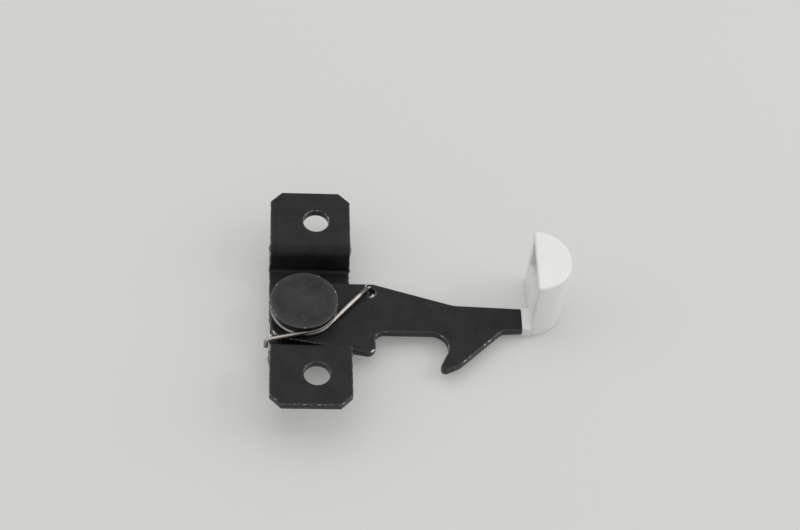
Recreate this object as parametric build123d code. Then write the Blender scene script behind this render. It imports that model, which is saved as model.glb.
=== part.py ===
"""Stair gate latch: a sprung hook arm riveted into a folded steel bracket.

Frame: the origin is midway between the two screw holes, on the face of the
ears that goes against the post. +Z points out of that face, +X runs along the
arm to its finger knob and +Y is the way the hook lifts. Sizes are millimetres.
"""
from math import asin, atan2, cos, degrees, hypot, radians, sin, tan
import os

from build123d import *

# ---------------------------------------------------------------- driving sizes
# Folded bracket: a hat section whose two ears carry the screw holes.
bracket_length = 60.3
bracket_width = 19.05
bracket_sheet = 1.9
channel_width = 25.4        # inside the channel, wall to wall
channel_depth = 7.95        # mounting face of the ears to the floor of the channel
bend_inside = 0.9           # inside radius of the four bends
ear_chamfer = 2.7
screw_hole_radius = 3.05
screw_hole_inset = 8.45     # hole centre in from the end of the ear
screw_hole_offset = 1.35    # holes sit this far off the bracket's centre line

# Pivot rivet and the bush that spaces its head off the arm.
pivot_offset = 2.8          # pivot axis behind the line of the screw holes
head_radius = 7.95
head_thickness = 1.55
head_edge_radius = 0.35
shoulder_radius = 3.95      # the arm turns on this
tail_radius = 3.0           # passes through the bracket
tail_head_radius = 4.3
tail_head_height = 2.0
tail_head_edge_radius = 1.2
bush_radius = 6.35

# Spring wire.
wire_radius = 0.525
wire_bend = 0.9             # centre line radius of the bends at the wire's ends
coil_radius = 7.45          # to the centre of the wire
leg_angle_bracket = 9.7     # rise of the leg that ends on the bracket, degrees
knee_drop = 0.275           # its knee, below the height at which it clears the arm
nib_drop = 0.4              # its turned-down end reaches this far past the floor
hook_side = 163.0           # where in its hole the arm's leg turns down, degrees
hook_lift = 0.85            # height that the arm's leg gains by there
hook_foot = 2.6             # the hook's foot under the arm, beyond the hole
coil_corners = 13           # straight pieces that the turn is rounded from
coil_rounding = 0.93        # share of the coil's radius used to round them

# Hook arm, measured from the pivot axis.
arm_sheet = 1.9
arm_top = 7.75              # straight top edge above the pivot
arm_rear = 7.85             # rear edge behind the pivot
arm_rear_top_radius = 7.7
arm_rear_low_radius = 4.0
shoulder_reach = 16.5       # where the top edge starts to fall
shoulder_blend = 4.0
tip_reach = 33.1            # centre of the hook's rounded point
tip_drop = 15.4
tip_radius = 1.1
tip_angle = 26.0            # slope just behind the point, degrees
tip_blend = 6.0             # between that slope and the flank
flank_run = 13.8            # from the point to the top of the flank
flank_top = -5.15
flank_angle = 43.4          # slope that rides up over the keeper, degrees
flank_blend = 2.0
notch_width = 16.25         # stop lobe to the hook's point
notch_roof = -6.05
notch_lean = 25.1           # lean of the hook's inner face, degrees off upright
notch_corner = 4.05         # radius between the hook and the roof
notch_lobe_corner = 2.1     # radius between the roof and the lobe
lobe_drop = 11.95           # underside of the stop lobe below the pivot
lobe_slope = 10.8           # degrees
lobe_corner = 1.8
neck_length = 4.8           # flank to the end of the bare steel
neck_break = 2.5            # the falling top edge ends this far past the point
neck_top = 1.95
neck_blend = 8.0
neck_end_top = 1.3
neck_end_bottom = -4.85
spring_hole_reach = 15.7
spring_hole_height = 5.2
spring_hole_radius = 1.35

# Finger knob: half-round, moulded over a tongue on the end of the arm.
knob_radius = 8.45
knob_height = 19.0
knob_below_arm = 0.65       # plastic under the arm
knob_step = 0.25            # lower edge of the knob above that of the neck
knob_standoff = 1.9         # collar between the bare steel and the knob's flat face
knob_rim_radius = 0.35
knob_corner_radius = 0.4
collar_skin = 0.55
collar_root = 1.0           # the collar runs on this far into the knob
pocket_side_wall = 3.1      # beside the cored-out pocket in the flat face
pocket_floor = 9.5          # above the underside of the knob
pocket_roof_wall = 0.8
pocket_depth = 4.0
pocket_corner_radius = 0.6
tongue_shoulder = 0.8       # step at each side where steel enters the plastic
tongue_neck = 0.6           # neck of the tongue inside the knob's flat face
tongue_foot = 3.5           # depth of the foot beyond that neck
tongue_side_wall = 3.6      # plastic beside the foot
tongue_anchor_radius = 1.25

# Clearances.
arm_play = 0.1              # arm over the floor of the channel
pivot_fit = 0.06            # arm around the shoulder, radial
bush_fit = 0.05             # bush around the shoulder, radial
stack_play = 0.05           # bush over the arm
coil_play = 0.06            # wire to what lies above or below it
edge_play = 0.2             # wire to the bracket's edge, and to the arm's underside
hook_play = 0.063           # wire to the side of its hole in the arm
moulded_fit = 0.02          # plastic around the tongue
tail_fit = 0.02             # tail of the rivet in the bracket
cut_over = 1.0              # how far a cutting shape stands out of what it cuts

# ---------------------------------------------------------------- heights
channel_floor = -channel_depth
arm_bottom = channel_floor + arm_play
arm_face = arm_bottom + arm_sheet
coil_space = 2 * (2 * wire_radius) + 3 * coil_play
head_under = arm_face + coil_space
wire_low = arm_face + coil_play + wire_radius
wire_high = head_under - coil_play - wire_radius
bracket_back = channel_floor - bracket_sheet
knob_bottom = arm_bottom - knob_below_arm
knob_top = knob_bottom + knob_height

# ---------------------------------------------------------------- reaches
screw_hole_spacing = bracket_length - 2 * screw_hole_inset
bracket_left = -screw_hole_offset - bracket_width / 2
lobe_face_reach = tip_reach - notch_width
neck_reach = tip_reach + neck_break
flank_reach = tip_reach + flank_run
arm_reach = flank_reach + neck_length
knob_face = arm_reach + knob_standoff
knob_centre = neck_end_bottom + knob_step + knob_radius
pocket_half_width = knob_radius - pocket_side_wall

pivot = Location((-pivot_offset, 0, 0))


def disc(radius, bottom, top):
    """A round slug about the pivot axis, between two heights."""
    height = top - bottom
    return Pos(0, 0, bottom + height / 2) * Cylinder(radius, height)


def rising_line(x, y, angle):
    """A point and a direction: a line through (x, y) at an angle in degrees."""
    return (x, y), (cos(radians(angle)), sin(radians(angle)))


def meet(first, second):
    """The point where two such lines cross."""
    (ax, ay), (ux, uy) = first
    (bx, by), (vx, vy) = second
    run = ((bx - ax) * vy - (by - ay) * vx) / (ux * vy - uy * vx)
    return ax + run * ux, ay + run * uy


def rounded_outline(corners):
    """A closed wire through (x, y, radius) corners, each rounded by its radius."""
    points = [(x, y) for x, y, _ in corners]
    radii = [radius for _, _, radius in corners]
    return Wire(FilletPolyline(*points, radius=radii, close=True))


def bracket():
    """The strip is folded along Y into a hat section, then pierced and cropped."""
    wall = channel_width / 2
    end = bracket_length / 2
    inner = [
        (-end, 0),
        (-wall, 0),
        (-wall, channel_floor),
        (wall, channel_floor),
        (wall, 0),
        (end, 0),
    ]
    outer = [
        (end, -bracket_sheet),
        (wall + bracket_sheet, -bracket_sheet),
        (wall + bracket_sheet, bracket_back),
        (-wall - bracket_sheet, bracket_back),
        (-wall - bracket_sheet, -bracket_sheet),
        (-end, -bracket_sheet),
    ]
    bend_outside = bend_inside + bracket_sheet
    inner_radii = [0, bend_outside, bend_inside, bend_inside, bend_outside, 0]
    outer_radii = [0, bend_inside, bend_outside, bend_outside, bend_inside, 0]
    corners = [
        (y, z, radius)
        for (y, z), radius in zip(inner + outer, inner_radii + outer_radii)
    ]
    section = Plane.YZ * Face(rounded_outline(corners))
    strip = extrude(section, amount=bracket_width / 2, both=True)
    strip = Pos(-screw_hole_offset, 0, 0) * strip

    for side in (-1, 1):
        hole = Cylinder(screw_hole_radius, 4 * bracket_sheet)
        strip -= Pos(0, side * screw_hole_spacing / 2, 0) * hole
        for edge in (-1, 1):
            corner = Polyline(
                (0, 0), (ear_chamfer, 0), (0, ear_chamfer), close=True
            )
            wedge = extrude(Face(Wire(corner)), amount=2 * bracket_sheet, both=True)
            turned = wedge.mirror(Plane.YZ) if edge > 0 else wedge
            turned = turned.mirror(Plane.XZ) if side > 0 else turned
            x = -screw_hole_offset + edge * bracket_width / 2
            strip -= Pos(x, side * bracket_length / 2, 0) * turned

    tail_hole = disc(
        tail_radius + tail_fit, bracket_back - cut_over, channel_floor + cut_over
    )
    return strip - pivot * tail_hole


def pivot_rivet():
    """One headed pin: broad head, shoulder, tail through the bracket, set over."""
    head = disc(head_radius, head_under, head_under + head_thickness)
    rim = head.edges().filter_by(GeomType.CIRCLE).group_by(Axis.Z)[-1]
    head = fillet(rim, head_edge_radius)
    shoulder = disc(shoulder_radius, channel_floor, head_under)
    tail = disc(tail_radius, bracket_back, channel_floor)
    set_end = bracket_back - tail_head_height
    tail_head = disc(tail_head_radius, set_end, bracket_back)
    set_rim = tail_head.edges().filter_by(GeomType.CIRCLE).group_by(Axis.Z)[0]
    tail_head = fillet(set_rim, tail_head_edge_radius)
    return pivot * (head + shoulder + tail + tail_head)


def spring_bush():
    """Plain collar on the shoulder: centres the coil and keeps the head clear."""
    ring = disc(bush_radius, arm_face + stack_play, head_under)
    bore = disc(shoulder_radius + bush_fit, arm_face, head_under + cut_over)
    return pivot * (ring - bore)


def arm_corners():
    """Corners of the arm's outline, (x, y, radius), clockwise from the rear top."""
    lobe_face = rising_line(lobe_face_reach, 0, 90)
    lobe_under = rising_line(lobe_face_reach - lobe_corner, -lobe_drop, -lobe_slope)
    rear = rising_line(-arm_rear, 0, 90)
    roof = rising_line(0, notch_roof, 0)
    flank = rising_line(flank_reach, flank_top, flank_angle)
    inner_angle = 90 - notch_lean
    inner_face = rising_line(
        tip_reach - tip_radius * sin(radians(inner_angle)),
        -tip_drop + tip_radius * cos(radians(inner_angle)),
        inner_angle,
    )
    tip_under = rising_line(
        tip_reach + tip_radius * sin(radians(tip_angle)),
        -tip_drop - tip_radius * cos(radians(tip_angle)),
        tip_angle,
    )
    return [
        (-arm_rear, arm_top, arm_rear_top_radius),
        (shoulder_reach, arm_top, shoulder_blend),
        (neck_reach, neck_top, neck_blend),
        (arm_reach, neck_end_top, 0),
        (arm_reach, neck_end_bottom, 0),
        (flank_reach, flank_top, flank_blend),
        (*meet(flank, tip_under), tip_blend),
        (*meet(tip_under, inner_face), tip_radius),
        (*meet(inner_face, roof), notch_corner),
        (*meet(roof, lobe_face), notch_lobe_corner),
        (*meet(lobe_face, lobe_under), lobe_corner),
        (*meet(lobe_under, rear), arm_rear_low_radius),
    ]


def tongue(extra=0.0):
    """Steel inside the knob: a short neck, then a foot that the plastic grips."""
    low = neck_end_bottom + tongue_shoulder - extra
    high = neck_end_top - tongue_shoulder + extra
    bottom = arm_bottom - extra
    thick = arm_sheet + 2 * extra
    neck_end = knob_face + tongue_neck
    foot_end = neck_end + tongue_foot + extra
    foot_half = knob_radius - tongue_side_wall + extra
    neck = Pos(arm_reach, low, bottom) * Box(
        neck_end - arm_reach + extra, high - low, thick, align=Align.MIN
    )
    foot = Pos(neck_end - extra, knob_centre - foot_half, bottom) * Box(
        foot_end - neck_end + extra, 2 * foot_half, thick, align=Align.MIN
    )
    anchor = Pos(neck_end + tongue_foot / 2, knob_centre, 0) * disc(
        tongue_anchor_radius - extra, bottom - cut_over, bottom + thick + cut_over
    )
    return neck + foot - anchor


def latch_arm():
    """Hook arm pressed from one sheet, with its tongue for the knob."""
    face = Face(rounded_outline(arm_corners()))
    plate = Pos(0, 0, arm_bottom) * extrude(face, amount=arm_sheet, dir=(0, 0, 1))
    plate += tongue()
    low, high = arm_bottom - cut_over, arm_face + cut_over
    plate -= disc(shoulder_radius + pivot_fit, low, high)
    spring_hole = disc(spring_hole_radius, low, high)
    plate -= Pos(spring_hole_reach, spring_hole_height, 0) * spring_hole
    return pivot * plate


def finger_knob():
    """Half-round moulding that stands across the arm, with a collar and a pocket."""
    shift = Pos(knob_face, knob_centre, 0)
    half = shift * disc(knob_radius, knob_bottom, knob_top)
    front = Pos(knob_face, knob_centre, (knob_bottom + knob_top) / 2) * Box(
        knob_radius, 4 * knob_radius, 2 * knob_height,
        align=(Align.MAX, Align.CENTER, Align.CENTER),
    )
    body = half - front
    uprights = body.edges().filter_by(Axis.Z).group_by(Axis.X)[0]
    body = fillet(uprights, knob_corner_radius)
    rim = body.faces().sort_by(Axis.Z)[-1].edges()
    body = fillet(rim, knob_rim_radius)

    pocket_low = knob_bottom + pocket_floor
    pocket_high = knob_top - pocket_roof_wall
    pocket = Pos(knob_face, knob_centre, (pocket_low + pocket_high) / 2) * Box(
        2 * pocket_depth, 2 * pocket_half_width, pocket_high - pocket_low
    )
    body -= fillet(pocket.edges().filter_by(Axis.X), pocket_corner_radius)

    collar_low = neck_end_bottom
    collar_high = neck_end_top
    collar = Pos(arm_reach + moulded_fit, collar_low, knob_bottom) * Box(
        knob_standoff + collar_root,
        collar_high - collar_low,
        arm_face + collar_skin - knob_bottom,
        align=Align.MIN,
    )
    return pivot * (body + collar - tongue(moulded_fit))


def spring_path():
    """Centre line of the wire: nib over the bracket's edge, turn, hook in the arm."""
    off_centre = spring_hole_radius - wire_radius - hook_play
    hook_x = spring_hole_reach + off_centre * cos(radians(hook_side))
    hook_y = spring_hole_height + off_centre * sin(radians(hook_side))
    leg_angle_arm = degrees(atan2(hook_y, hook_x) + asin(coil_radius / hypot(hook_x, hook_y)))
    low_angle = leg_angle_bracket - 90
    turn = 360 + leg_angle_arm - leg_angle_bracket
    step = turn / coil_corners
    corner_radius = coil_radius / cos(radians(step / 2))

    tangent_x = coil_radius * cos(radians(low_angle))
    tangent_y = coil_radius * sin(radians(low_angle))
    knee_x = bracket_left + pivot_offset - wire_radius - edge_play
    fall = (tangent_x - knee_x) * tan(radians(leg_angle_bracket))
    knee = (knee_x, tangent_y - fall)
    points = [
        (*knee, channel_floor - nib_drop),
        (*knee, arm_face + wire_radius - knee_drop),
    ]
    radii = [wire_bend]

    for number in range(coil_corners):
        part = (number + 0.5) / coil_corners
        angle = radians(low_angle + step * (number + 0.5))
        points.append((
            corner_radius * cos(angle),
            corner_radius * sin(angle),
            wire_high + (wire_low - wire_high) * part,
        ))
        radii.append(coil_radius * coil_rounding)

    ahead_x, ahead_y = cos(radians(leg_angle_arm)), sin(radians(leg_angle_arm))
    under_arm = arm_bottom - wire_radius - edge_play
    points += [
        (hook_x, hook_y, wire_low + hook_lift),
        (hook_x, hook_y, under_arm),
        (hook_x + hook_foot * ahead_x, hook_y + hook_foot * ahead_y, under_arm),
    ]
    radii += [wire_bend, wire_bend]
    return FilletPolyline(*points, radius=radii)


def torsion_spring():
    """Round wire swept along the spring's centre line."""
    path = spring_path()
    section = Plane(origin=path @ 0, z_dir=path % 0) * Circle(wire_radius)
    return pivot * sweep(section, path=path)


parts = {
    "bracket": bracket,
    "pivot_rivet": pivot_rivet,
    "spring_bush": spring_bush,
    "latch_arm": latch_arm,
    "finger_knob": finger_knob,
    "torsion_spring": torsion_spring,
}

os.makedirs("parts", exist_ok=True)
for name, make in parts.items():
    export_step(make(), f"parts/{name}.step")
    print("wrote", name)
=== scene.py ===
# %% [markdown]
# # A stair gate latch, made as surfaces
# The latch is a folded steel bracket, a hook arm that turns on a broad rivet, a
# wire spring and a white finger knob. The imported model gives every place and
# size. Each piece is made again here with the soft edges, bends and finishes
# that pressed steel, drawn wire and moulded plastic have.

import math

import bmesh
import bpy
import numpy as np
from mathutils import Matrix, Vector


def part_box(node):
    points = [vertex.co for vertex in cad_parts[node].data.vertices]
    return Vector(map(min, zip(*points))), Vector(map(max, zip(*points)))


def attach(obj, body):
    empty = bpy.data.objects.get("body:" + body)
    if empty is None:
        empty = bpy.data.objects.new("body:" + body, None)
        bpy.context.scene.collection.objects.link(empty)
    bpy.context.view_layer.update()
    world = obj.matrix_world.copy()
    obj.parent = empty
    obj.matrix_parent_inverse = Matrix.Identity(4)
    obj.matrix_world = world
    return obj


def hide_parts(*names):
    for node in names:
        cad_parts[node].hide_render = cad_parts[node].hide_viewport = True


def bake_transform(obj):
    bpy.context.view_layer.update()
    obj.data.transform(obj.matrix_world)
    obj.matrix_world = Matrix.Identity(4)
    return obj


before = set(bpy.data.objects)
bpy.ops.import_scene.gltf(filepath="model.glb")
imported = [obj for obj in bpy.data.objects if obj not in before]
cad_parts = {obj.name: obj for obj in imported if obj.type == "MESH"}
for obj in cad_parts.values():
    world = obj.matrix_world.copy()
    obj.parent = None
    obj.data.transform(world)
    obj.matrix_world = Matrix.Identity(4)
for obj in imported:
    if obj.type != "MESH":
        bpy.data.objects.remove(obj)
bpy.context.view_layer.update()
MM = 0.001


# %% [markdown]
# ## Sizes that several pieces share
# A latch works because its pieces fit: the arm lies just above the floor of the
# channel, the coil just above the arm and the rivet's head just above the coil.
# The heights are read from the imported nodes, so that they always agree with it.

# %% Read the heights and the pivot
def span(node):
    """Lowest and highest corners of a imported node, in millimetres."""
    low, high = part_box(node)
    return np.array(low) / MM, np.array(high) / MM


bracket_low, bracket_high = span("bracket")
arm_low, arm_high = span("latch_arm")
rivet_low, rivet_high = span("pivot_rivet")
bush_low, bush_high = span("spring_bush")
knob_low, knob_high = span("finger_knob")
pivot_x = (bush_low[0] + bush_high[0]) / 2
sheet = arm_high[2] - arm_low[2]
print(f"pivot at x {pivot_x:.2f}, arm {arm_low[2]:.2f} to {arm_high[2]:.2f} mm")


# %% [markdown]
# ## From arrays to a piece
# A surface is a grid of points, and its faces join each point to its
# neighbours. One helper numbers the faces, and another turns points, faces and
# an "edge" value for each point into a closed mesh. The edge value is 1 where a
# hand or a tumbling drum would rub the finish away, and the materials use it.

# %% Helpers for grids and meshes
def grid_faces(rows, columns, ring=True):
    """Quads of a grid whose points are numbered row by row. Point (r, c) is
    r * columns + c, and a ring joins the last column to the first."""
    r = np.arange(rows - 1)[:, None]
    c = np.arange(columns if ring else columns - 1)[None, :]
    across = (c + 1) % columns
    corners = (r * columns + c, r * columns + across,
               (r + 1) * columns + across, (r + 1) * columns + c)
    return np.stack(np.broadcast_arrays(*corners), -1).reshape(-1, 4)


def new_mesh(name, points, faces, edge):
    """A bmesh of points in millimetres, with an edge value stored on each."""
    mesh = bpy.data.meshes.new(name)
    mesh.from_pydata(np.asarray(points, float) * MM, [], np.asarray(faces).tolist())
    values = mesh.attributes.new("edge", "FLOAT", "POINT")
    values.data.foreach_set("value", np.asarray(edge, np.float32).ravel())
    work = bmesh.new()
    work.from_mesh(mesh)
    bmesh.ops.remove_doubles(work, verts=work.verts, dist=1e-7)
    return mesh, work


def close_mesh(mesh, work):
    """Faces turned outwards and shaded smooth, written back to the mesh."""
    bmesh.ops.dissolve_degenerate(work, dist=1e-8, edges=work.edges)
    bmesh.ops.recalc_face_normals(work, faces=work.faces)
    open_edges = sum(not e.is_manifold for e in work.edges)
    work.to_mesh(mesh)
    work.free()
    mesh.shade_smooth()
    print(f"{mesh.name}: {len(mesh.polygons)} faces, {open_edges} open edges")
    return mesh


def place(mesh, material, node, body=None):
    """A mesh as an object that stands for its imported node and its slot."""
    piece = bpy.data.objects.new(mesh.name, mesh)
    bpy.context.scene.collection.objects.link(piece)
    mesh.materials.append(material)
    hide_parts(node)
    if body:
        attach(piece, body)
    return piece


# %% [markdown]
# ## Shader maths that reads as arithmetic
# A material is a graph of nodes. Wiring it by hand hides the idea, so a small
# class wraps a socket: adding or multiplying two of them adds a Math node, and
# one method adds any other kind of node.

# %% The class that wraps a socket
class Signal:
    """One output socket of a material, on which arithmetic adds Math nodes."""

    def __init__(self, tree, socket=None):
        self.tree, self.socket = tree, socket

    def node(self, kind, settings=None, sockets=None, out=0):
        """Adds a node: its settings, then its sockets' values or links."""
        made = self.tree.nodes.new(kind)
        for name, value in (settings or {}).items():
            setattr(made, name, value)
        for name, value in (sockets or {}).items():
            if isinstance(value, Signal):
                self.tree.links.new(value.socket, made.inputs[name])
            else:
                made.inputs[name].default_value = value
        return Signal(self.tree, made.outputs[out])

    def maths(self, operation, first, second=0.0):
        return self.node("ShaderNodeMath", {"operation": operation}, {0: first, 1: second})

    def __add__(self, other): return self.maths("ADD", self, other)
    def __radd__(self, other): return self.maths("ADD", other, self)
    def __sub__(self, other): return self.maths("SUBTRACT", self, other)
    def __rsub__(self, other): return self.maths("SUBTRACT", other, self)
    def __mul__(self, other): return self.maths("MULTIPLY", self, other)
    def __rmul__(self, other): return self.maths("MULTIPLY", other, self)

    def between(self, low, high):
        """Rises smoothly from 0 at low to 1 at high, and falls if low is higher."""
        return self.node(
            "ShaderNodeMapRange", {"interpolation_type": "SMOOTHSTEP"},
            {0: self, 1: low, 2: high, 3: 0.0, 4: 1.0},
        )

    def noise(self, where, scale, detail=2.0, rough=0.5):
        """Cloudy values about 0.5; scale is lumps to the metre."""
        return self.node(
            "ShaderNodeTexNoise", {},
            {"Vector": where, "Scale": scale, "Detail": detail, "Roughness": rough},
        )

    def mix(self, mask, colour_a, colour_b):
        """Colour a where the mask is 0, colour b where it is 1."""
        sides = {name: value if isinstance(value, Signal) else (*value, 1)
                 for name, value in ((6, colour_a), (7, colour_b))}
        return self.node("ShaderNodeMix", {"data_type": "RGBA"}, {0: mask, **sides}, out=2)


def start_material(name):
    """An empty material and the signals that the others are worked out from."""
    material = bpy.data.materials.new(name)
    material.use_nodes = True
    tree = material.node_tree
    tree.nodes.clear()
    graph = Signal(tree)
    where = graph.node("ShaderNodeTexCoord", out="Object")
    return material, graph, where


def finish_material(graph, **sockets):
    """The surface shader, whose constants are set on its own sockets."""
    named = {name.replace("_", " "): value for name, value in sockets.items()}
    surface = graph.node("ShaderNodeBsdfPrincipled", {}, named)
    output = graph.tree.nodes.new("ShaderNodeOutputMaterial")
    graph.tree.links.new(surface.socket, output.inputs["Surface"])


# %% [markdown]
# ## Satin black steel
# The bracket, the arm and the rivet are pressed steel with a thin black finish,
# rumbled in a drum. Flat faces are satin and finely grained, with pale specks
# of dust and pin-point chips. Cut edges and bends rub first, so bare metal shows
# there in broken lines. Wear is one mask: the edge value that each piece
# carries, pushed up and down by noise, then cut off. Listed ellipses add to it:
# some are scuffs and chips, and some are painted highlights, bare steel put
# where light glints on corners, on a flank and on the rim of a hole.

# %% The black finish
PALE_DUST, RUBBED_BLACK_AND_GLINT = (0.30, 0.30, 0.31), (0.075, 0.073, 0.076)
BARE_STEEL_AND_GLINT = (0.56, 0.55, 0.53)
SCRATCH_DEPTH = 0.02 * MM


def black_steel(name, colour, rub=0.0, specks=0.5, scuffs_and_glints=()):
    """Satin black over steel. A larger rub wears the edges more, a larger specks
    gives more dust. Each listed patch (x, y, long, wide, angle, amount) is an
    ellipse in millimetres and degrees: some are scuffs, and some are painted
    highlights that stand in for glints of light."""
    material, graph, where = start_material(name)
    edge = graph.node("ShaderNodeAttribute", {"attribute_name": "edge"}, out="Fac")
    grain = graph.noise(where, 2600.0, 3.0, 0.6)
    cloud = graph.noise(where, 190.0, 3.0, 0.55)
    ragged = graph.noise(where, 900.0, 4.0, 0.65)
    dust = graph.noise(where, 4300.0, 1.0, 0.3).between(0.765 - 0.03 * specks, 0.83)

    # Patches are scuffs, and some are painted highlights: bare steel put where light glints.
    scuff_and_glint = None
    for x, y, long, wide, angle, amount in scuffs_and_glints:
        inside = graph.node("ShaderNodeMapping", {"vector_type": "TEXTURE"}, {
            "Vector": where, "Location": (x * MM, y * MM, 0.0),
            "Rotation": (0.0, 0.0, math.radians(angle)), "Scale": (long * MM, wide * MM, 1.0)})
        reach = graph.node("ShaderNodeVectorMath", {"operation": "LENGTH"}, {0: inside},
                           out="Value")
        spot = reach.between(1.0, 0.3) * amount
        scuff_and_glint = spot if scuff_and_glint is None else scuff_and_glint + spot

    wear_and_glints = edge * (0.42 + rub) + ragged * 0.9
    wear_and_glints = wear_and_glints if scuff_and_glint is None else wear_and_glints + scuff_and_glint * 0.35
    bare_and_glint = wear_and_glints.between(0.98, 1.10)
    shade = (grain - 0.5) * 0.5 + (cloud - 0.5) * 0.9 + 0.5
    darker, lighter = ([share * c for c in colour] for share in (0.5, 1.7))
    paint = graph.mix(shade.between(0.2, 0.8), darker, lighter)
    dusty = graph.mix(dust * 0.5, paint, PALE_DUST)
    rub_and_glint_mask = edge * 0.25 if scuff_and_glint is None else edge * 0.25 + scuff_and_glint * 0.22
    rubbed_and_glint = graph.mix(rub_and_glint_mask.between(0.0, 1.0), dusty, RUBBED_BLACK_AND_GLINT)
    surface = graph.mix(bare_and_glint, rubbed_and_glint, BARE_STEEL_AND_GLINT)
    rough = 0.46 + (grain - 0.5) * 0.30 + (cloud - 0.5) * 0.12 - edge * 0.10 - bare_and_glint * 0.08
    relief = graph.node("ShaderNodeBump", {}, {
        "Height": grain + ragged * 0.5 - bare_and_glint * 0.6, "Strength": 0.6,
        "Distance": SCRATCH_DEPTH})
    finish_material(graph, Base_Color=surface, Roughness=rough, Metallic=bare_and_glint * 0.9,
                    Normal=relief, Specular_IOR_Level=0.23,
                    Coat_Weight=edge * 0.65, Coat_Roughness=0.2)
    print("material", name)
    return material


# %% [markdown]
# ## Bare metals
# The spring is drawn wire: pulled through a die, it keeps fine scratches along
# its length. The wire carries a direction attribute, round the wire in two of
# its numbers and along it in the third, so the scratches follow every bend.
# Three parts of it are painted darker as painted shade: the bent-down first
# end, the turn under the rivet's head and the hook over and under the arm.
# The bush is dull zinc, whose colour clouds over.

# %% Wire and zinc
ALONG = 0.12  # units of the direction attribute to a millimetre of wire
WIRE_PAINTED_SHADE = (0.10, 0.092, 0.088)


def drawn_wire(name, shade_from):
    """Spring wire with scratches stretched along it. Its colour is darkened, as
    painted shade, at its first end, round the turn, and past the given length
    from the first end, in millimetres."""
    material, graph, where = start_material(name)
    along = graph.node("ShaderNodeAttribute", {"attribute_name": "drawn"}, out="Vector")
    scratch = graph.noise(along, 2.4, 3.0, 0.6)
    stain = graph.noise(where, 420.0, 3.0, 0.6)
    tone = (scratch - 0.5) * 0.9 + (stain - 0.5) * 0.6 + 0.5
    bright = graph.mix(tone.between(0.15, 0.85), (0.34, 0.305, 0.285), (0.60, 0.555, 0.53))
    far = graph.node("ShaderNodeSeparateXYZ", {}, {"Vector": along}, out="Z")
    # Painted shade: darker where the wire dips over and under the arm, at its bent-down first end
    # and round the turn under the rivet's head.
    hook = far.between(shade_from * ALONG, (shade_from + 1.5) * ALONG)
    nib = far.between(3.6 * ALONG, 1.8 * ALONG)
    turn = far.between(13.0 * ALONG, 17.0 * ALONG) * far.between(56.0 * ALONG, 52.0 * ALONG)
    painted_shade = hook * 0.9 + nib * 0.4 + turn * 0.5
    colour = graph.mix(painted_shade, bright, WIRE_PAINTED_SHADE)
    rough = 0.40 + (0.5 - scratch) * 0.20 + (stain - 0.5) * 0.12
    relief = graph.node("ShaderNodeBump", {}, {
        "Height": scratch, "Strength": 0.4, "Distance": SCRATCH_DEPTH})
    finish_material(graph, Base_Color=colour, Roughness=rough, Metallic=1.0, Normal=relief)
    return material


def dull_zinc(name):
    """Plated steel, grey and faintly yellow where it clouds over."""
    material, graph, where = start_material(name)
    cloud = graph.noise(where, 350.0, 4.0, 0.6)
    grain = graph.noise(where, 3000.0, 2.0, 0.5)
    colour = graph.mix(cloud.between(0.3, 0.7), (0.33, 0.33, 0.32), (0.52, 0.50, 0.45))
    relief = graph.node("ShaderNodeBump", {}, {
        "Height": grain, "Strength": 0.3, "Distance": SCRATCH_DEPTH})
    finish_material(graph, Base_Color=colour, Roughness=0.38 + (cloud - 0.5) * 0.3,
                    Metallic=0.95, Normal=relief)
    return material


# %% [markdown]
# ## White moulded plastic
# The knob is glossy white plastic. The mould leaves it very slightly wavy, and
# its pocket and collar, which face the core of the mould, are duller and a
# little streaked. Handling leaves faint grey marks here and there.

# %% The plastic
def white_plastic(name):
    """Glossy white, with a soft waviness, handling marks and streaks where it
    faced the core, which the edge value marks."""
    material, graph, where = start_material(name)
    edge = graph.node("ShaderNodeAttribute", {"attribute_name": "edge"}, out="Fac")
    wave = graph.noise(where, 160.0, 2.0, 0.4)
    grain = graph.noise(where, 3200.0, 2.0, 0.5)
    stretched = graph.node("ShaderNodeMapping", {}, {
        "Vector": where, "Scale": (2200.0, 300.0, 160.0)})
    streak = graph.noise(stretched, 1.0, 3.0, 0.6)
    handled = graph.noise(where, 520.0, 4.0, 0.7).between(0.62, 0.80)
    core = edge.between(0.3, 0.7)
    marks = handled * 0.25 + core * streak.between(0.45, 0.75) * 0.55
    white = graph.mix((wave - 0.5) * 1.6 + 0.5, (0.705, 0.700, 0.702), (0.73, 0.727, 0.729))
    colour = graph.mix(marks, white, (0.55, 0.55, 0.555))
    rough = 0.24 + (wave - 0.5) * 0.1 + (grain - 0.5) * 0.06 + core * 0.16 + handled * 0.08
    relief = graph.node("ShaderNodeBump", {}, {
        "Height": wave * 3.0 + grain * 0.15 + streak * core * 0.6, "Strength": 0.25,
        "Distance": 0.05 * MM})
    finish_material(graph, Base_Color=colour, Roughness=rough, Normal=relief,
                    Subsurface_Weight=0.12, Subsurface_Scale=0.8 * MM,
                    Subsurface_Radius=(1.0, 0.95, 0.9), Coat_Weight=0.35, Coat_Roughness=0.06)
    return material


# %% [markdown]
# ## Punched sheet
# The arm and the blank of the bracket are stamped from sheet. A punch rolls the
# upper edge over and leaves a sharper edge below, so the cut edge has a profile:
# lower corner, straight cut, upper corner. Carrying that profile round the
# outline makes the whole rim in one grid, and the flat faces fill the loops.

# %% Outlines with rounded corners
OUTER_BORDER, HOLE_BORDER = 0.60, 0.45  # flat strip inside each cut edge


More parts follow.
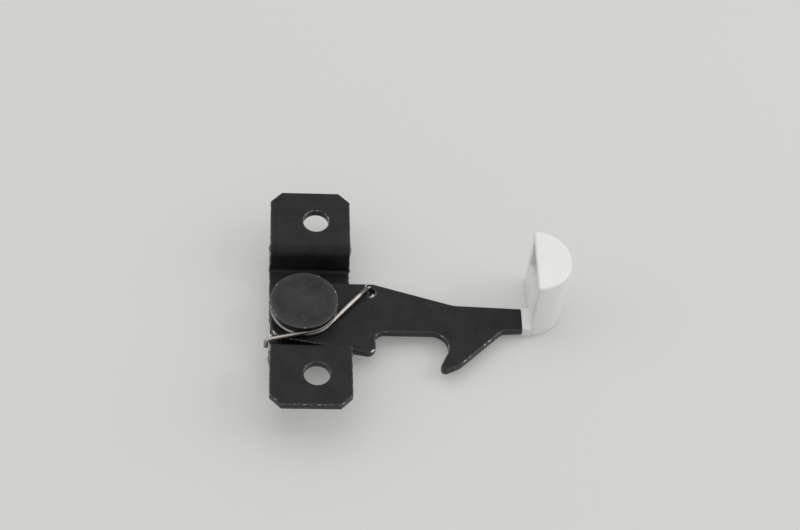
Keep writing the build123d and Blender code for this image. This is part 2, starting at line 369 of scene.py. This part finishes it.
def outline(corners, inset=0.0, steps=14):
    """Points round (x, y, radius) corners, moved inwards by an inset. A corner is
    an arc: its centre plus the radius, less the inset, times a normal that turns
    from one side's to the next one's. Past its radius it is the mitre instead."""
    data = np.array(corners, float)
    point, radius = data[:, :2], data[:, 2]
    leave = np.roll(point, -1, 0) - point
    leave /= np.linalg.norm(leave, axis=1, keepdims=True)
    arrive = np.roll(leave, 1, 0)
    turn = np.arctan2(arrive[:, 0] * leave[:, 1] - arrive[:, 1] * leave[:, 0],
                      (arrive * leave).sum(1))
    way = np.sign(turn.sum())
    first, second = (way * np.stack([d[:, 1], -d[:, 0]], 1) for d in (arrive, leave))
    side = np.sign(turn * way)
    mitre = (first + second) / (1 + (first * second).sum(1))[:, None]
    angle = (np.arctan2(first[:, 1], first[:, 0])[:, None]
             + turn[:, None] * np.linspace(0, 1, steps))
    normal = np.stack([np.cos(angle), np.sin(angle)], -1)
    arc = (point - mitre * (side * radius)[:, None])[:, None, :] \
        + normal * (side * radius - inset)[:, None, None]
    sharp = (side > 0) & (radius <= inset)
    arc[sharp] = (point - mitre * inset)[sharp][:, None, :]
    return arc.reshape(-1, 2)


def circle(x, y, radius, steps=72):
    """Points round a circle: the centre plus the radius times (cos, sin)."""
    angle = np.linspace(0, 2 * np.pi, steps, endpoint=False)
    return np.stack([x + radius * np.cos(angle), y + radius * np.sin(angle)], 1)


def cut_profile(thickness, upper, lower, border):
    """Rows of inset, height and edge value up a cut edge: quarter circles of the
    lower and upper radius, joined by the straight cut, with a flat border. The
    edge value is highest half way round the upper corner."""
    a = np.linspace(0, np.pi / 2, 6)
    low = np.stack([lower * (1 - np.sin(a)), lower * (1 - np.cos(a)), 0.5 + 0 * a], 1)
    high = np.stack([upper * (1 - np.cos(a)), thickness - upper * (1 - np.sin(a)),
                     0.3 + 0.7 * np.sin(2 * a)], 1)
    return np.concatenate([[[border, 0.0, 0.0]], low, high, [[border, thickness, 0.0]]])


def stamped(name, corners, holes, thickness, bottom, upper=0.22, lower=0.12):
    """A stamped plate: the cut profile carried round the outline and each hole,
    and both faces filled between the loops that this leaves."""
    points, faces, edges, count = [], [], [], 0
    loops = [(lambda inset: outline(corners, inset), OUTER_BORDER)]
    loops += [(lambda inset, h=hole: circle(h[0], h[1], h[2] + inset), HOLE_BORDER)
              for hole in holes]
    for loop, border in loops:
        profile = cut_profile(thickness, upper, lower, border)
        rows = [np.column_stack([loop(inset), np.full(len(loop(0)), bottom + height)])
                for inset, height, _ in profile]
        points += rows
        edges += [np.full(len(rows[0]), value) for value in profile[:, 2]]
        faces.append(grid_faces(len(rows), len(rows[0])) + count)
        count += len(rows) * len(rows[0])
    mesh, work = new_mesh(name, np.concatenate(points), np.concatenate(faces),
                          np.concatenate(edges))
    for level in (bottom, bottom + thickness):
        rim = [e for e in work.edges if e.is_boundary
               and abs(e.verts[0].co.z / MM - level) < 1e-4]
        bmesh.ops.triangle_fill(work, use_beauty=True, edges=rim)
    return mesh, work


# %% [markdown]
# ## The hook arm
# The arm is one flat stamping: a broad end that turns on the rivet, a notch that
# takes the keeper, a hook with a sloping flank that rides up over it, and a neck
# that runs into the knob. Its outline is worked out from slopes and radii, as a
# toolmaker would set out the punch, and the sizes are measured from the pivot.

# %% Set out the arm
def slope(x, y, angle):
    """A line through (x, y) at an angle in degrees, as a point and a direction."""
    return np.array([x, y]), np.array([math.cos(math.radians(angle)),
                                       math.sin(math.radians(angle))])


def meet(first, second):
    """Where two such lines cross."""
    (a, u), (b, v) = first, second
    run = np.linalg.solve(np.column_stack([u, -v]), b - a)[0]
    return tuple(a + run * u)


arm_back, rear = 7.75, -7.85
notch_roof = slope(0, -6.05, 0)
lobe_face = slope(16.85, 0, 90)
lobe_under = slope(15.05, -11.95, -10.8)
arm_rear = slope(rear, 0, 90)
flank = slope(46.9, -5.15, 43.4)
tip_centre, tip_radius = (33.1, -15.4), 1.1
hook_inside, tip_under = (
    slope(tip_centre[0] + way * tip_radius * math.sin(math.radians(angle)),
          tip_centre[1] - way * tip_radius * math.cos(math.radians(angle)), angle)
    for angle, way in ((64.9, -1), (26.0, 1)))

neck_end, neck_high, neck_low = 51.7, 1.3, -4.85
grip_start, grip_end, sharp, blunt = 54.2, 57.7, 0.1, 0.3
tongue = [
    (neck_end, neck_high, sharp), (neck_end, 0.5, sharp), (grip_start, 0.5, sharp),
    (grip_start, 8.7, blunt), (grip_end, 8.7, blunt), (grip_end, -1.0, blunt),
    (grip_start, -1.0, sharp), (grip_start, -4.05, sharp), (neck_end, -4.05, sharp),
    (neck_end, neck_low, sharp)]
rear_radius, lower_rear_radius = 7.7, 4.0
shoulder_radius, neck_blend, flank_blend, tip_blend = 4.0, 8.0, 2.0, 6.0
notch_radius, notch_corner, lobe_corner = 4.05, 2.1, 1.8
arm_outline = [
    (rear, arm_back, rear_radius), (16.5, arm_back, shoulder_radius),
    (35.6, 1.95, neck_blend), *tongue, (46.9, -5.15, flank_blend),
    (*meet(flank, tip_under), tip_blend), (*meet(tip_under, hook_inside), tip_radius),
    (*meet(hook_inside, notch_roof), notch_radius),
    (*meet(notch_roof, lobe_face), notch_corner), (*meet(lobe_face, lobe_under), lobe_corner),
    (*meet(lobe_under, arm_rear), lower_rear_radius)]
arm_outline = [(x + pivot_x, y, radius) for x, y, radius in arm_outline]
pivot_hole, spring_hole, grip_hole = (0.0, 0.0, 4.01), (15.7, 5.2, 1.35), (55.95, 3.85, 1.25)
arm_holes = [(pivot_x + x, y, radius) for x, y, radius in (pivot_hole, spring_hole, grip_hole)]
print(f"arm: {len(arm_outline)} corners, {len(arm_holes)} holes")

# %% Stamp the arm
arm_mesh = close_mesh(*stamped("hook_arm", arm_outline, arm_holes, sheet, arm_low[2],
                               upper=0.34))
# Scuffs on the arm. The spots at the spring hole's rim, at the notch's left corner, at the lobe's
# lower corner and along the hook's flank are painted highlights: glints of light painted on as
# bare steel.
arm_scuffs_and_glints = [
    (-9.0, -7.5, 3.0, 3.0, 0.0, 0.55), (11.8, 6.75, 1.7, 0.26, 54.4, 1.15),
    (12.98, 6.85, 1.3, 0.22, 33.6, 1.15), (12.4, 6.95, 1.2, 0.7, 45.0, 0.45),
    (14.25, 4.75, 0.45, 0.35, 60.0, 1.8), (14.3, -8.5, 0.8, 0.8, 0.0, 1.0),
    (13.3, -11.4, 0.7, 0.7, 0.0, 1.0), (36.3, -12.6, 3.4, 0.5, 37.0, 0.2),
    (30.8, -11.0, 2.2, 0.5, 78.0, 1.1)]
arm_finish = black_steel("black_steel_arm", (0.0092, 0.0086, 0.0094), rub=0.08, specks=0.1,
                         scuffs_and_glints=arm_scuffs_and_glints)
place(arm_mesh, arm_finish, "latch_arm", "arm")


# %% [markdown]
# ## The folded bracket
# The bracket starts as a flat blank with cropped corners and three holes, and is
# folded four times. The blank is stamped in the same way as the arm, cut across
# at many lines near the folds, and then every point is moved by the folding
# rule: it keeps its distance along the middle of the sheet. The sheet is
# squeezed on the inside of a fold, so its sides swell there and are rubbed more.

# %% The blank
channel_half, channel_floor = 12.7, -7.95
inside_bend, bend = 0.9, 0.9 + sheet / 2
flat_end = channel_half - inside_bend
wall_start = flat_end + bend * math.pi / 2
wall_end = wall_start - channel_floor - sheet - 2 * inside_bend
ear_start = wall_end + bend * math.pi / 2
fold_in = channel_half + sheet + inside_bend
ear_end = ear_start + bracket_high[1] - fold_in
middle, half = (bracket_low[0] + bracket_high[0]) / 2, (bracket_high[0] - bracket_low[0]) / 2
crop, blank_corner = 2.7, 0.5
blank = [(middle + x * (half - crop * cropped), y * (ear_end - crop * (1 - cropped)), blank_corner)
         for x, y, cropped in ((-1, -1, 0), (-1, -1, 1), (1, -1, 1), (1, -1, 0),
                               (1, 1, 0), (1, 1, 1), (-1, 1, 1), (-1, 1, 0))]
screw_hole_y, screw_hole_radius, rivet_hole_radius = 21.7, 3.05, 3.02
hole_line = ear_start + screw_hole_y - fold_in
blank_holes = [(0.0, hole_line, screw_hole_radius), (0.0, -hole_line, screw_hole_radius),
               (pivot_x, 0.0, rivet_hole_radius)]
print(f"blank: {2 * half:.2f} by {2 * ear_end:.2f} mm flat")


# %% Fold it
def folded(x, along, height):
    """Where a point of the blank goes. Flat parts slide, and in a fold the point
    turns about the fold's centre at the bend radius, less its height above the
    middle of the sheet on the first fold and more on the second."""
    side, run = np.sign(along), np.abs(along)
    low, up = (run - flat_end) / bend, (run - wall_end) / bend
    zones = [run <= flat_end, run <= wall_start, run <= wall_end, run <= ear_start]
    y = np.select(zones, [
        run, flat_end + (bend - height) * np.sin(low), channel_half + sheet / 2 - height,
        fold_in - (bend + height) * np.cos(up)], fold_in + run - ear_start)
    floor_middle, fold_height = channel_floor - sheet / 2, -sheet - inside_bend
    z = np.select(zones, [
        floor_middle + height, floor_middle + bend - (bend - height) * np.cos(low),
        floor_middle + bend + run - wall_start, fold_height + (bend + height) * np.sin(up)],
        height - sheet / 2)
    return np.stack([x, side * y, z], -1)


fold_cuts, beside_fold = 11, 0.6
swelling, swelling_wear, swelling_length = 0.34, 0.22, 1.9
bracket_mesh, work = stamped("folded_bracket", blank, blank_holes, sheet, -sheet / 2)
folds = np.concatenate([
    np.linspace(flat_end, wall_start, fold_cuts), np.linspace(wall_end, ear_start, fold_cuts),
    [flat_end - beside_fold, ear_start + beside_fold]])
for line in np.concatenate([folds, -folds]):
    bmesh.ops.bisect_plane(work, geom=work.verts[:] + work.edges[:] + work.faces[:],
                           plane_co=(0, line * MM, 0), plane_no=(0, 1, 0))
work.to_mesh(bracket_mesh)
work.free()
at = np.empty(3 * len(bracket_mesh.vertices))
worn = np.empty(len(bracket_mesh.vertices))
bracket_mesh.vertices.foreach_get("co", at)
bracket_mesh.attributes["edge"].data.foreach_get("value", worn)
at = at.reshape(-1, 3) / MM
at_side = (np.abs(at[:, 0] - middle) / half) ** 12
near_fold = [np.clip(1.25 - np.abs(np.abs(at[:, 1]) - (start + end) / 2) / swelling_length, 0, 1)
             for start, end in ((flat_end, wall_start), (wall_end, ear_start))]
squeezed = np.where(at[:, 2] > 0, *near_fold) * at_side
at[:, 0] += np.sign(at[:, 0] - middle) * swelling * squeezed
worn = np.clip(worn + swelling_wear * squeezed, 0, 1.2)
bracket_mesh.vertices.foreach_set("co", (folded(*at.T) * MM).ravel())
bracket_mesh.attributes["edge"].data.foreach_set("value", worn)
work = bmesh.new()
work.from_mesh(bracket_mesh)
bracket_mesh = close_mesh(bracket_mesh, work)
bracket_scuffs = [
    (-10.75, -5.0, 3.4, 1.1, 90.0, 1.15), (-10.1, -6.6, 2.0, 1.2, 60.0, 1.25),
    (-3.4, -7.9, 2.4, 0.8, 0.0, 2.2), (-10.8, -14.0, 2.6, 2.6, 0.0, 0.45)]
bracket_finish = black_steel("black_steel_bracket", (0.0098, 0.0092, 0.0102), rub=0.15,
                             scuffs_and_glints=bracket_scuffs)
place(bracket_mesh, bracket_finish, "bracket", "frame")


# %% [markdown]
# ## The rivet and the bush
# Turned pieces are a profile carried round an axis. The rivet's head is very
# slightly dished, with a crisp rim. Under it is the shoulder that the arm turns
# on, and its tail is set over behind the bracket. The bush is a plain ring.

# %% Turn them
def turned(name, profile, steps=128):
    """A lathed piece. Point (r, z) of the profile goes to (r cos a, r sin a, z)
    about the pivot, for angles a round the circle."""
    rows = np.array(profile, float)
    angle = np.linspace(0, 2 * np.pi, steps, endpoint=False)
    radius, height, edge = (np.repeat(rows[:, i:i + 1], steps, 1) for i in range(3))
    points = np.stack([pivot_x + radius * np.cos(angle), radius * np.sin(angle), height], -1)
    mesh, work = new_mesh(name, points.reshape(-1, 3), grid_faces(len(rows), steps), edge)
    return close_mesh(mesh, work)


def quarter(radius, height, size, start, edge, steps=6):
    """Profile points round a corner of that size about (radius, height), through
    a quarter turn down from an angle in degrees."""
    a = np.radians(np.linspace(start, start - 90, steps))
    return [(radius + size * c, height + size * s, edge) for c, s in zip(np.cos(a), np.sin(a))]


head_radius = (rivet_high[0] - rivet_low[0]) / 2
head_thickness, top_rim, under_rim = 1.55, 0.24, 0.22
shoulder, shank, tail_top, tail_corner = 3.95, 3.0, 4.15, 1.2
head_top, head_under = rivet_high[2], rivet_high[2] - head_thickness
tail_end, bracket_back = rivet_low[2], channel_floor - sheet
rivet_profile = [(0, head_top - 0.05, 0), (3, head_top - 0.035, 0), (6.2, head_top, 0),
                 (head_radius - 0.32, head_top - 0.02, 0.35)]
rivet_profile += quarter(head_radius - top_rim, head_top - 0.27, top_rim, 88, 1.0)
rivet_profile += [(head_radius, head_top - 0.5, 0.0), (head_radius, head_under + 0.4, 0.0)]
rivet_profile += quarter(head_radius - under_rim, head_under + under_rim, under_rim, 0, 0.3)
rivet_profile += [(shoulder, head_under, 0), (shoulder, channel_floor, 0),
                  (shank, channel_floor, 0), (shank, bracket_back, 0),
                  (tail_top, bracket_back, 0.2)]
rivet_profile += quarter(3.1, bracket_back - 0.8, tail_corner, 10, 0.5, 10)
rivet_profile += [(2.4, tail_end + 0.02, 0.3), (1.9, tail_end + 0.18, 0.1),
                  (0.0, tail_end + 0.25, 0)]
rivet_mesh = turned("pivot_rivet_turned", rivet_profile)
rivet_finish = black_steel("black_steel_rivet", (0.021, 0.0203, 0.022), rub=0.07, specks=1.3)
place(rivet_mesh, rivet_finish, "pivot_rivet", "frame")

bush_in, bush_out, bevel = 4.0, (bush_high[0] - bush_low[0]) / 2, 0.15
bush_profile = [(bush_in, bush_low[2], 0), (bush_out - bevel, bush_low[2], 0),
                (bush_out, bush_low[2] + bevel, 1), (bush_out, bush_high[2] - bevel, 1),
                (bush_out - bevel, bush_high[2], 0), (bush_in, bush_high[2], 0),
                (bush_in, bush_low[2], 0)]
bush = place(turned("bush_ring", bush_profile), dull_zinc("dull_zinc"), "spring_bush", "frame")


# %% [markdown]
# ## The spring
# The spring is one length of round wire: an end bent down over the bracket's
# side, a leg that rises to the coil, one turn round the bush, and a second leg
# that is hooked down through the arm's small hole and forward under it. Its line
# is put together from straight runs, arcs and an exact helix, and a circle is
# carried along it. A reference direction that turns with the wire's heading
# keeps the circle from twisting.

# %% The line of the wire
def bent(points, radii, steps=9):
    """A line through points whose inner corners are arcs. With unit directions u
    in and v out, an arc starts a tangent length before the corner and curves
    from u towards v in their plane."""
    p, r = np.array(points, float), np.array(radii, float)[:, None]
    run = np.diff(p, axis=0)
    unit = run / np.linalg.norm(run, axis=1, keepdims=True)
    u, v = unit[:-1], unit[1:]
    dot = (u * v).sum(1, keepdims=True)
    angle = np.arccos(np.clip(dot, -1, 1))
    inward = (v - dot * u) / np.sin(angle)
    start = p[1:-1] - u * r * np.tan(angle / 2)
    a = angle[:, :, None] * np.linspace(0, 1, steps)[None, :, None]
    arcs = start[:, None] + r[:, :, None] * (
        np.sin(a) * u[:, None] + (1 - np.cos(a)) * inward[:, None])
    return np.concatenate([p[:1], arcs.reshape(-1, 3), p[-1:]])


wire, coil, wire_bend = 0.525, 7.45, 0.9
leg_in, leg_out = 9.7, 47.8
coil_gap, side_gap = 0.06, 0.2
nib_drop, knee_rise = 0.4, 2.25
hook_reach, hook_lift, hook_foot, foot_gap = 14.07, 0.85, 2.6, 0.2
wire_low = arm_high[2] + coil_gap + wire
wire_high = head_under - coil_gap - wire
side_x = bracket_low[0] - pivot_x - wire - side_gap
first, last = math.radians(leg_in - 90), math.radians(leg_out - 90)
coil_start = np.array([coil * math.cos(first), coil * math.sin(first), wire_high])
coil_end = np.array([coil * math.cos(last), coil * math.sin(last), wire_low])
knee_y = coil_start[1] - (coil_start[0] - side_x) * math.tan(math.radians(leg_in))
tail = bent([(side_x, knee_y, channel_floor - nib_drop),
             (side_x, knee_y, channel_floor + knee_rise), coil_start], [wire_bend])
a = np.linspace(first, last + 2 * np.pi, 120)[:, None]
helix = np.hstack([coil * np.cos(a), coil * np.sin(a),
                   np.interp(a, (a[0, 0], a[-1, 0]), (wire_high, wire_low))])
ahead = np.array([math.cos(math.radians(leg_out)), math.sin(math.radians(leg_out)), 0.0])
above = coil_end + hook_reach * ahead + (0, 0, hook_lift)
below = np.array([*above[:2], arm_low[2] - wire - foot_gap])
hook = bent([coil_end, above, below, below + hook_foot * ahead], [wire_bend, wire_bend])
line = np.concatenate([tail[:-1], helix, hook[1:]])
heading = np.radians(np.concatenate([
    np.full(len(tail) - 1, leg_in), np.degrees(a[:, 0]) + 90,
    np.full(len(hook) - 1, 360 + leg_out)]))
wire_length = np.linalg.norm(np.diff(line, axis=0), axis=1).sum()
print(f"wire: {wire_length:.1f} mm long")


# %% Carry a circle along it
def wire_along(name, line, heading, radius, around=20):
    """A round tube. Each ring is the line's point plus the radius times (cos,
    sin) in a frame of the level direction across the heading, squared up to the
    tangent. Rings of nothing and of a smaller radius round off both ends."""
    tangent = np.gradient(line, axis=0)
    tangent /= np.linalg.norm(tangent, axis=1, keepdims=True)
    end_sizes, end_inset = np.array([0.0, 0.86, 1.0]), 0.07
    line = np.concatenate([line[:1] + tangent[:1] * [[0.0], [0.0], [end_inset]], line[1:-1],
                           line[-1:] - tangent[-1:] * [[end_inset], [0.0], [0.0]]])
    tangent, heading = (np.concatenate([v[:1], v[:1], v, v[-1:], v[-1:]])
                        for v in (tangent, heading))
    size = np.concatenate([end_sizes, np.ones(len(line) - 6), end_sizes[::-1]])[:, None, None]
    across = np.stack([np.sin(heading), -np.cos(heading), 0 * heading], 1)
    across -= (across * tangent).sum(1, keepdims=True) * tangent
    across /= np.linalg.norm(across, axis=1, keepdims=True)
    other = np.cross(tangent, across)
    a = np.linspace(0, 2 * np.pi, around, endpoint=False)[None, :, None]
    rings = line[:, None] + radius * size * (
        np.cos(a) * across[:, None] + np.sin(a) * other[:, None])
    travelled = np.concatenate([[0], np.cumsum(np.linalg.norm(np.diff(line, axis=0), axis=1))])
    mesh = bpy.data.meshes.new(name)
    mesh.from_pydata((rings.reshape(-1, 3) + (pivot_x, 0, 0)) * MM, [],
                     grid_faces(len(line), around).tolist())
    drawn = np.stack(np.broadcast_arrays(np.cos(a[..., 0]), np.sin(a[..., 0]),
                                         travelled[:, None] * ALONG), -1)
    attribute = mesh.attributes.new("drawn", "FLOAT_VECTOR", "POINT")
    attribute.data.foreach_set("vector", drawn.astype(np.float32).ravel())
    work = bmesh.new()
    work.from_mesh(mesh)
    bmesh.ops.remove_doubles(work, verts=work.verts, dist=1e-7)
    return close_mesh(mesh, work)


# The spring's first leg bears on the bracket and its second on the arm. The
# spring is joined to neither body: the points across its turn, down and towards
# the hook, are worked out but not used, and its placement is baked into its mesh.
shaded_end_length = 9.0
spring = place(wire_along("spring_wire", line, heading, wire),
               drawn_wire("drawn_wire", wire_length - shaded_end_length), "torsion_spring")
across_turn = np.array([0.183, 0.0, -0.35])
begin = coil_start + (pivot_x, 0, 0)
finish = begin + across_turn / (across_turn ** 2).sum()
begin * MM
finish * MM
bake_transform(spring)


# %% [markdown]
# ## The finger knob
# The knob is half of a cylinder, flat where it meets the arm, with rounded
# corners and a rounded top rim. A pocket cored into its flat face keeps the wall
# even, and a collar grips the neck of the arm. The outer surface is one grid,
# an outline with inset rows for the rim. The flat face is left open there and
# filled between its own frame and the mouth of the pocket.

# %% The half-round body
knob_radius, corner, rim, foot = 8.45, 0.70, 0.62, 0.22
knob_face = pivot_x + 53.6
knob_y = neck_low + 0.25 + knob_radius


def half_round(inset, steps=72):
    """The knob's outline, moved inwards: a small arc, the large one and a small
    one again. The large radius and the small one lose the inset, and the small
    centre is where both the flat side and the large arc touch its circle."""
    large, small = knob_radius - inset, max(corner - inset, 0.02)
    x = inset + small
    y = math.sqrt((large - small) ** 2 - x ** 2)
    tip = math.atan2(y, x)
    near, wide = np.linspace(np.pi, 2 * np.pi - tip, 12), np.linspace(-tip, tip, steps)
    arcs = [(x, -y, small, near), (0, 0, large, wide[1:-1]), (x, y, small, -near[::-1])]
    return np.concatenate([np.stack([x + r * np.cos(a), y + r * np.sin(a)], 1)
                           for x, y, r, a in arcs])


a = np.linspace(0, np.pi / 2, 8)
knob_rows = [(1.2, knob_low[2], 0.0)]
knob_rows += [(foot * (1 - s), knob_low[2] + foot * (1 - c), 0.2)
              for s, c in zip(np.sin(a), np.cos(a))]
upright = len(knob_rows) - 1
knob_rows += [(rim * (1 - c), knob_high[2] - rim * (1 - s), 0.0)
              for s, c in zip(np.sin(a), np.cos(a))]
knob_rows += [(1.6, knob_high[2], 0.0)]
columns = len(half_round(0))
body = np.concatenate([np.column_stack([half_round(inset) + (knob_face, knob_y),
                                        np.full(columns, height)])
                       for inset, height, _ in knob_rows])
body_faces = grid_faces(len(knob_rows), columns)
open_side = upright * columns + columns - 1
body_faces = np.delete(body_faces, open_side, 0)
body_edge = np.repeat([value for *_, value in knob_rows], columns)
print("knob:", len(body_faces), "faces before the pocket")

# %% The pocket and the collar
pocket_half, pocket_low, pocket_high = 5.35, 1.0, knob_high[2] - 0.80
pocket_depth, pocket_corner, lip = 4.0, 0.6, 0.12


def rounded_box(half_width, low, high, radius):
    """The section of a box with rounded corners, as (y, z) points."""
    return outline([(-half_width, low, radius), (half_width, low, radius),
                    (half_width, high, radius), (-half_width, high, radius)], steps=6)


pocket_rows = [(-lip, 0.0), (-0.3 * lip, 0.3 * lip), (0.0, lip), (0.05, pocket_depth - 0.5),
               (0.2, pocket_depth - 0.12), (0.6, pocket_depth), (1.6, pocket_depth)]
sections = [rounded_box(pocket_half - i, pocket_low + i, pocket_high - i,
                        max(pocket_corner - i, 0.05)) for i, _ in pocket_rows]
pocket = np.concatenate([np.column_stack([np.full(len(s), knob_face + depth),
                                          s[:, 0] + knob_y, s[:, 1]])
                         for s, (_, depth) in zip(sections, pocket_rows)])
collar_top, collar_side = arm_high[2] + 0.55, (neck_high - neck_low) / 2
collar_start, collar_end = 51.72, 53.9
collar_rows = [(0.5, collar_start), (0.12, collar_start), (0.03, 51.77), (0.0, 51.86),
               (0.0, 53.25), (-0.03, 53.42), (-0.10, 53.56), (-0.10, collar_end)]
collar_y = (neck_high + neck_low) / 2
collar_sections = [rounded_box(collar_side - i, knob_low[2] + max(i, 0), collar_top - i, 0.3)
                   for i, _ in collar_rows]
collar = np.concatenate([np.column_stack([np.full(len(s), pivot_x + x),
                                          s[:, 0] + collar_y, s[:, 1]])
                         for s, (_, x) in zip(collar_sections, collar_rows)])
ring = len(sections[0])
knob_points = np.concatenate([body, pocket, collar])
knob_faces = np.concatenate([
    body_faces, grid_faces(len(pocket_rows), ring) + len(body),
    grid_faces(len(collar_rows), ring) + len(body) + len(pocket)])
knob_edge = np.concatenate([body_edge, np.full(len(pocket), 1.0), np.full(len(collar), 1.0)])
knob_mesh, work = new_mesh("finger_knob_moulding", knob_points, knob_faces, knob_edge)


def fill(work, axis, level):
    """Fills the open loops that lie in one plane across an axis."""
    rim = [e for e in work.edges if e.is_boundary
           and all(abs(v.co[axis] / MM - level) < 1e-3 for v in e.verts)]
    bmesh.ops.triangle_fill(work, use_beauty=True, edges=rim)
    print("filled across", "xyz"[axis], "at", round(float(level), 2), "with", len(rim), "edges")


for axis, level in ((0, knob_face), (0, knob_face + pocket_depth), (2, knob_low[2]),
                    (2, knob_high[2]), (0, pivot_x + collar_start), (0, pivot_x + collar_end)):
    fill(work, axis, level)
knob = place(close_mesh(knob_mesh, work), white_plastic("white_plastic"), "finger_knob", "arm")


# %% [markdown]
# ## Floor, light and camera
# The latch rests on the end of its rivet and on its knob, so the floor is a
# plane that touches both. It is a pale board with a faint glow of its own, which
# keeps the shadows light. Broad soft lights hang over it, to its left and to its
# right, and a small one at the right puts thin glints on edges that face it.

# %% The floor
rest_a = np.array([pivot_x + 3.1, tail_end])
rest_b = np.array([pivot_x + 62.0, knob_low[2]])
tilt = (rest_b[1] - rest_a[1]) / (rest_b[0] - rest_a[0])
floor_half, floor_count, clear_of_floor = 1.6, 9, 0.02
steps = np.linspace(-floor_half, floor_half, floor_count)
xy = np.stack(np.meshgrid(steps, steps), -1).reshape(-1, 2)
floor_z = (rest_a[1] - clear_of_floor) * MM + (xy[:, 0] - rest_a[0] * MM) * tilt
floor_mesh = bpy.data.meshes.new("floor")
floor_mesh.from_pydata(np.column_stack([xy, floor_z]), [],
                       grid_faces(floor_count, floor_count, ring=False).tolist())
floor = bpy.data.objects.new("floor", floor_mesh)
bpy.context.scene.collection.objects.link(floor)
floor_material, graph, where = start_material("pale_floor")
cloud = graph.noise(where, 9.0, 2.0, 0.5)
pale = graph.mix(cloud, (0.440, 0.442, 0.433), (0.452, 0.454, 0.445))
finish_material(graph, Base_Color=pale, Roughness=0.6 + (cloud - 0.5) * 0.05,
                Emission_Color=graph.mix(cloud, (1.0, 1.0, 0.975), (1.0, 1.0, 0.985)),
                Emission_Strength=0.165)
floor_mesh.materials.append(floor_material)
print(f"floor tilted {math.degrees(math.atan(tilt)):.2f} degrees")


# %% Lights
def soft_light(name, place, width, height, power, colour):
    """An area light at a place in metres, aimed at the latch."""
    data = bpy.data.lights.new(name, "AREA")
    data.shape, data.size, data.size_y = "RECTANGLE", width, height
    data.energy, data.color = power, colour
    light = bpy.data.objects.new(name, data)
    bpy.context.scene.collection.objects.link(light)
    light.location = place
    light.rotation_euler = (-light.location).to_track_quat("-Z", "Y").to_euler()


soft_light("overhead", (-0.05, 0.50, 1.25), 1.8, 1.2, 4.2, (1.0, 0.985, 1.01))
soft_light("left", (-0.95, 0.10, 0.62), 0.9, 0.7, 1.6, (1.0, 0.99, 1.0))
soft_light("right", (0.95, 0.05, 0.60), 0.9, 0.7, 3.0, (1.0, 0.99, 1.0))
soft_light("small_right", (0.80, 0.02, 0.85), 0.16, 0.10, 0.6, (1.0, 1.0, 1.0))
world = bpy.data.worlds.new("soft_room")
world.use_nodes = True
backdrop = world.node_tree.nodes["Background"]
backdrop.inputs["Color"].default_value = (1.0, 1.0, 0.972, 1)
backdrop.inputs["Strength"].default_value = 0.68
bpy.context.scene.world = world
bpy.context.scene.view_settings.view_transform = "Standard"

# %% Camera
lens_data = bpy.data.cameras.new("camera")
lens_data.lens, lens_data.sensor_width = 91.53, 36.0
camera = bpy.data.objects.new("camera", lens_data)
bpy.context.scene.collection.objects.link(camera)
camera.location = (-0.01807, -0.27274, 0.38948)
camera.rotation_euler = [math.radians(angle) for angle in (35.918, -4.306, -1.742)]
bpy.context.scene.camera = camera
